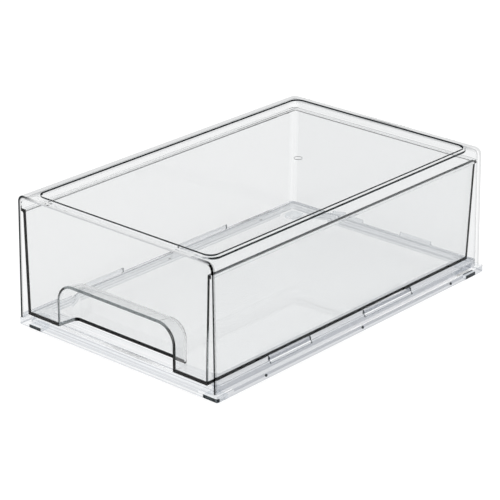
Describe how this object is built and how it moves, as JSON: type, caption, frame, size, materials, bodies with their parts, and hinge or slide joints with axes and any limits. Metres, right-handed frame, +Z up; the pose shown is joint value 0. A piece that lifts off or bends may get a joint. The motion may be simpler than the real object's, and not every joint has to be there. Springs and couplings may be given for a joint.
{
  "type": "makeup drawer organizer",
  "caption": "Clear plastic stackable drawer unit: a moulded cover snapped on a base, with a pull-out drawer that has an arched finger alcove in its front.",
  "frame": {"origin": "middle of the unit on the table, below the foot pads", "axes": "+X to the right seen from the front, +Y from the front to the rear, +Z up; the drawer opens along -Y"},
  "size_m": [0.21, 0.33, 0.113],
  "materials": {
    "clear_cover": "polished clear plastic",
    "clear_base": "polished clear plastic",
    "clear_drawer": "polished clear plastic",
    "clear_pad": "clear soft pad"
  },
  "bodies": {
    "case": {"case_cover": "clear_cover", "base_tray": "clear_base", "foot_pad_front_left": "clear_pad", "foot_pad_front_right": "clear_pad", "foot_pad_rear_left": "clear_pad", "foot_pad_rear_right": "clear_pad"},
    "drawer": {"drawer_tub": "clear_drawer"}
  },
  "joints": [
    {"name": "drawer_slide", "type": "slide", "parent": "case", "child": "drawer", "axis": [0, -1, 0], "range_m": [0, 0.25]}
  ]
}
